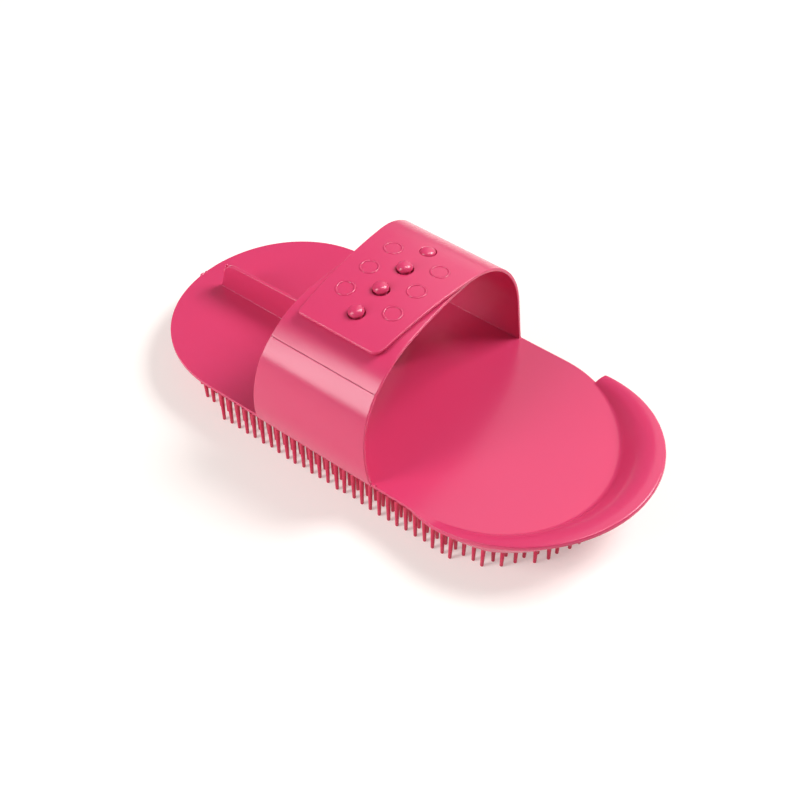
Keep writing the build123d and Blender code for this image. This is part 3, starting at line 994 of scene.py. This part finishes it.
def web_section(wall_face):
    """Section of the fillet at a wall's foot, as (distance from the centre line, height)."""
    foot = wall_face - ROOT_FILLET
    inside_wall = wall_face + WEB_LAP
    section = [(foot, plate_top(foot) - WEB_SINK), (foot, plate_top(foot) - SKIN_SINK)]
    steps = 8
    for step in range(1, steps):
        turn = pi / 2 * step / steps
        spread = foot + ROOT_FILLET * sin(turn)
        rise = ROOT_FILLET * (1 - cos(turn)) - SKIN_SINK
        section.append((spread, plate_top(spread) + rise))
    section.append((inside_wall, plate_top(wall_face) + ROOT_FILLET))
    section.append((inside_wall, plate_top(wall_face) - WEB_SINK))
    return section


def root_webs():
    """Plastic in the corner between each wall and the plate, hollowed into a fillet."""
    builder = bmesh.new()
    for name, side, width in (
        ("near_root_swing", -1, NEAR_ROOT_WIDTH),
        ("far_root_swing", 1, FAR_ROOT_WIDTH),
    ):
        section = web_section(side * joint_mm(name)[0] - ROOT_TUCK - STRAP_THICK / 2)
        ends = []
        for x in (WEB_END_INSET - width / 2, width / 2 - WEB_END_INSET):
            ends.append([builder.verts.new((STRAP_X + x, side * y, z)) for y, z in section])
        join_loops(builder, ends)
        builder.faces.new(ends[0])
        builder.faces.new(ends[1][::-1])
    bmesh.ops.recalc_face_normals(builder, faces=builder.faces)
    return finish_bmesh("root_webs", builder)


# ---- studs ----
def stud_rings(stem, dome):
    """(radius, height) up a stud: stem, rim of the head, and its dome but for the very top."""
    rings = [(STUD_STEM_RADIUS + 0.3, -0.2), (STUD_STEM_RADIUS, 0.3), (STUD_STEM_RADIUS, stem)]
    rings.append((STUD_HEAD_RADIUS * 0.9, stem + 0.06))
    rings.append((STUD_HEAD_RADIUS, stem + STUD_HEAD_RIM))
    for step in range(1, STUD_DOME_STEPS):
        turn = pi / 2 * step / STUD_DOME_STEPS
        radius = STUD_HEAD_RADIUS * cos(turn) ** 0.85
        rings.append((radius, stem + STUD_HEAD_RIM + dome * sin(turn)))
    return rings


def stud(index):
    """A short stem with a domed head, standing square on the tongue."""
    last = index == STUD_COUNT - 1
    stem = LAST_STUD_STEM_HEIGHT if last else STUD_STEM_HEIGHT
    head = LAST_STUD_HEAD_HEIGHT if last else STUD_HEAD_HEIGHT
    slope = asin((STUD_FIRST + index * STUD_PITCH) / FLAP_RADIUS)
    reach = FLAP_RADIUS - STRAP_THICK / 2 - TONGUE_GAP  # to the tongue's top
    foot = (STRAP_X, reach * sin(slope), FLAP_CREST - FLAP_RADIUS + reach * cos(slope))
    place = Matrix.Translation(foot) @ Matrix.Rotation(-slope, 4, "X")
    builder = bmesh.new()
    add_post(builder, stud_rings(stem, head - STUD_HEAD_RIM), stem + head, STUD_SIDES, place)
    piece = finish_bmesh(f"stud_{index + 1}_skin", builder, radians(60))
    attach(piece, "tongue")
    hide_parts(f"stud_{index + 1}")
    return piece


# ---- materials ----
PINK = (0.66, 0.046, 0.142, 1.0)
# The teeth get a dimmer, deeper pink than PINK: painted shade for the shadow under the plate.
TOOTH_PINK_PAINTED_SHADE = (0.66, 0.03, 0.095, 1.0)
CLOUD_SCALE = 28  # noise scales are per metre
PATCH_SCALE = 60
SKIN_SCALE = 900
GLOSS_SPREAD = 0.02


def noise(nodes, links, scale, detail):
    """Noise from 0 to 1, fixed to the piece and this many to the metre."""
    place = nodes.new("ShaderNodeTexCoord")
    texture = nodes.new("ShaderNodeTexNoise")
    texture.inputs["Scale"].default_value = scale
    texture.inputs["Detail"].default_value = detail
    links.new(place.outputs["Object"], texture.inputs["Vector"])
    return texture.outputs["Fac"]


def blended(nodes, links, factor, first, second):
    """A colour that goes from first to second with a factor; first may be a node's output."""
    blender = nodes.new("ShaderNodeMix")
    blender.data_type = "RGBA"
    links.new(factor, blender.inputs["Factor"])
    if isinstance(first, tuple):
        blender.inputs["A"].default_value = first
    else:
        links.new(first, blender.inputs["A"])
    blender.inputs["B"].default_value = second
    return blender.outputs["Result"]


def pigment_and_crease_shade(nodes, links, colour):
    """Slightly cloudy colour, with painted shade along the scored crease line."""
    # Where the crease is scored, the colour is painted 0.4 as bright: painted shade.
    cloudy, crease_painted_shade = (tuple(share * part for part in colour[:3]) + (1.0,) for share in (0.95, 0.4))
    scored = nodes.new("ShaderNodeAttribute")
    scored.attribute_name = "crease"
    tint = blended(nodes, links, noise(nodes, links, CLOUD_SCALE, 3), colour, cloudy)
    return blended(nodes, links, scored.outputs["Fac"], tint, crease_painted_shade)


def uneven_gloss(nodes, links, roughness):
    """Roughness that wanders a little from patch to patch."""
    gloss = nodes.new("ShaderNodeMapRange")
    gloss.inputs["To Min"].default_value = roughness - GLOSS_SPREAD
    gloss.inputs["To Max"].default_value = roughness + GLOSS_SPREAD
    links.new(noise(nodes, links, PATCH_SCALE, 2), gloss.inputs["Value"])
    return gloss.outputs["Result"]


def skin_texture(nodes, links):
    """The faint texture that the mould's polish leaves."""
    bump = nodes.new("ShaderNodeBump")
    bump.inputs["Strength"].default_value = 0.02
    bump.inputs["Distance"].default_value = 0.0001
    links.new(noise(nodes, links, SKIN_SCALE, 2), bump.inputs["Height"])
    return bump.outputs["Normal"]


def plastic(name, colour, roughness, specular):
    """Satin-gloss moulded plastic: cloudy colour with painted crease shade, uneven gloss, faint
    skin texture.
    """
    material = bpy.data.materials.new(name)
    material.use_nodes = True
    nodes, links = material.node_tree.nodes, material.node_tree.links
    shader = nodes["Principled BSDF"]
    shader.inputs["IOR"].default_value = 1.49
    shader.inputs["Specular IOR Level"].default_value = specular
    shader.inputs["Subsurface Weight"].default_value = 0.12
    shader.inputs["Subsurface Radius"].default_value = (1.0, 0.25, 0.3)
    shader.inputs["Subsurface Scale"].default_value = 0.002
    links.new(pigment_and_crease_shade(nodes, links, colour), shader.inputs["Base Color"])
    links.new(uneven_gloss(nodes, links, roughness), shader.inputs["Roughness"])
    links.new(skin_texture(nodes, links), shader.inputs["Normal"])
    return material


def paint(piece, material):
    """Give a piece its material."""
    piece.data.materials.clear()
    piece.data.materials.append(material)


# ---- floor, light and camera ----
LIGHTS = (  # name, place and size in metres, power, and whether it lights matt surfaces
    ("key", (0.4, 0.6, 0.82), (0.5, 0.5), 12.5, True),
    ("window", (-0.42, -0.78, 0.54), (0.34, 0.85), 7.5, True),
    ("gleam", (0.13, 0.17, 0.97), (0.3, 0.3), 3.0, False),
    ("veil", (-0.12, 0.75, 0.62), (0.7, 1.2), 3.3, False),
)


def dim_world():
    """Weak white light from all round."""
    world = bpy.data.worlds.new("studio")
    world.use_nodes = True
    background = world.node_tree.nodes["Background"]
    background.inputs["Color"].default_value = (1.0, 0.99, 0.98, 1)
    background.inputs["Strength"].default_value = 0.2
    bpy.context.scene.world = world


def paper_floor():
    """A sheet of white paper that glows a little, so that it stays pale under the comb."""
    bpy.ops.mesh.primitive_plane_add(size=6)
    floor = bpy.context.object
    floor.name = "floor"
    paper = bpy.data.materials.new("white_paper")
    paper.use_nodes = True
    shader = paper.node_tree.nodes["Principled BSDF"]
    shader.inputs["Base Color"].default_value = (0.7, 0.66, 0.63, 1)
    shader.inputs["Roughness"].default_value = 0.9
    shader.inputs["Emission Color"].default_value = (1.0, 0.94, 0.91, 1)
    shader.inputs["Emission Strength"].default_value = 0.39
    shader.inputs["Specular IOR Level"].default_value = 0.0
    floor.data.materials.append(paper)


def soft_light(name, place, size, power, lights_matt):
    """A soft box of this width and height, aimed at the comb."""
    data = bpy.data.lights.new(name, "AREA")
    data.shape = "RECTANGLE"
    data.size, data.size_y = size
    data.energy = power
    light = bpy.data.objects.new(name, data)
    bpy.context.scene.collection.objects.link(light)
    light.location = place
    light.rotation_euler = (-Vector(place)).to_track_quat("-Z", "Y").to_euler()
    light.visible_diffuse = lights_matt


CAMERA_AZIMUTH = radians(37.916)
CAMERA_ELEVATION = radians(47.03)
CAMERA_DISTANCE = 500.0
CAMERA_TARGET = (4.151, -8.435, RIM_HEIGHT)
CAMERA_LENS = 61.37


def camera():
    """The camera, looking down on the comb from its front right."""
    data = bpy.data.cameras.new("camera")
    data.lens = CAMERA_LENS
    data.sensor_width = 36
    view = bpy.data.objects.new("camera", data)
    bpy.context.scene.collection.objects.link(view)
    back = Vector((0, -cos(CAMERA_ELEVATION), sin(CAMERA_ELEVATION)))
    back.rotate(Matrix.Rotation(CAMERA_AZIMUTH, 3, "Z"))
    view.location = (Vector(CAMERA_TARGET) + back * CAMERA_DISTANCE) * MM
    view.rotation_euler = back.to_track_quat("Z", "Y").to_euler()
    bpy.context.scene.camera = view


# ---- the comb ----
body_plastic = plastic("pink_plastic", PINK, 0.23, 0.5)
# The teeth's material is dimmer by painted shade, not by being a different plastic.
teeth_plastic_painted_shade = plastic("painted_shade_pink_teeth", TOOTH_PINK_PAINTED_SHADE, 0.34, 0.15)

shell = plate_shell()
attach(shell, "base")
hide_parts("base_plate", "front_lip")
rib = hand_rib()
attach(rib, "base")
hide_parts("hand_rib")
for piece in (shell, rib):
    paint(piece, body_plastic)
for piece in (gate_marks(), root_webs()):
    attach(piece, "base")
    paint(piece, body_plastic)

for row in range(ROW_COUNT):
    teeth = tooth_row(row)
    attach(teeth, "base")
    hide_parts(f"tooth_row_{row + 1:02d}")
    paint(teeth, teeth_plastic_painted_shade)

for piece in near_half() + far_half():
    paint(piece, body_plastic)
for index in range(STUD_COUNT):
    paint(stud(index), body_plastic)

dim_world()
paper_floor()
for light in LIGHTS:
    soft_light(*light)
camera()
bpy.context.scene.view_settings.view_transform = "Standard"
